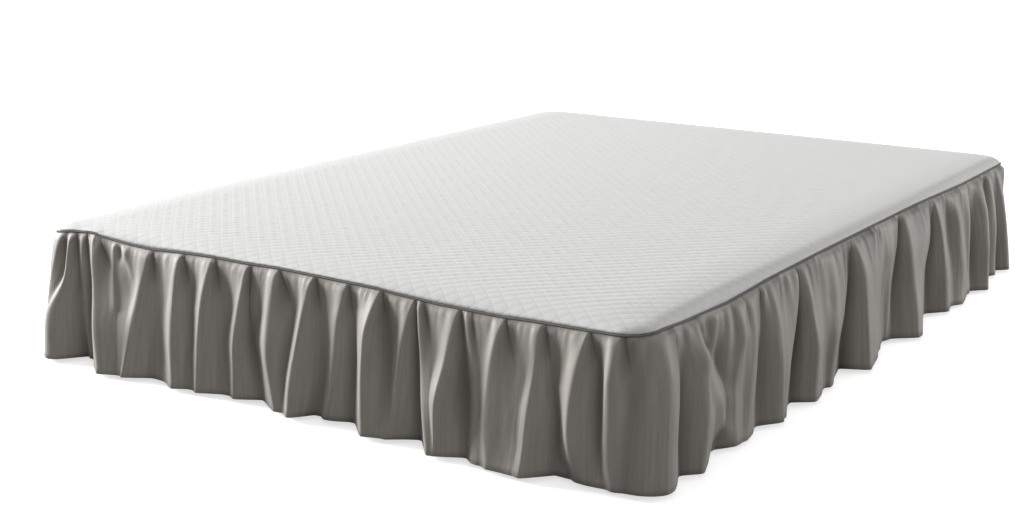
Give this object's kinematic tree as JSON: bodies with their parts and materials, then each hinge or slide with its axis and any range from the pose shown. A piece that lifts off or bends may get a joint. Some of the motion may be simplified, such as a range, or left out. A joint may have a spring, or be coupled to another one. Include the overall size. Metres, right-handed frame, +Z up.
{
  "type": "waterproof mattress protector with gathered skirt on a mattress and bed base",
  "caption": "Skirted waterproof mattress protector: a diamond-quilted top panel, piped seam and gathered skirt to the floor, fitted over a plain mattress on a low bed base.",
  "frame": {"origin": "on the floor under the middle of the bed, on the flat underside of the bed base", "axes": "+Z up, -Y towards the foot end, +Y towards the head end, +X towards the bed's right-hand side seen from above with the head end up"},
  "size_m": [1.6365, 2.1464, 0.3132],
  "materials": {
    "base_cloth": "matte",
    "ticking": "matte",
    "quilted_cloth": "matte, diamond quilted",
    "piping_cloth": "matte",
    "skirt_cloth": "soft sheen, gathered"
  },
  "bodies": {
    "root": {"bed_base": "base_cloth", "mattress": "ticking", "top_panel": "quilted_cloth", "piping": "piping_cloth", "skirt": "skirt_cloth"}
  },
  "joints": []
}
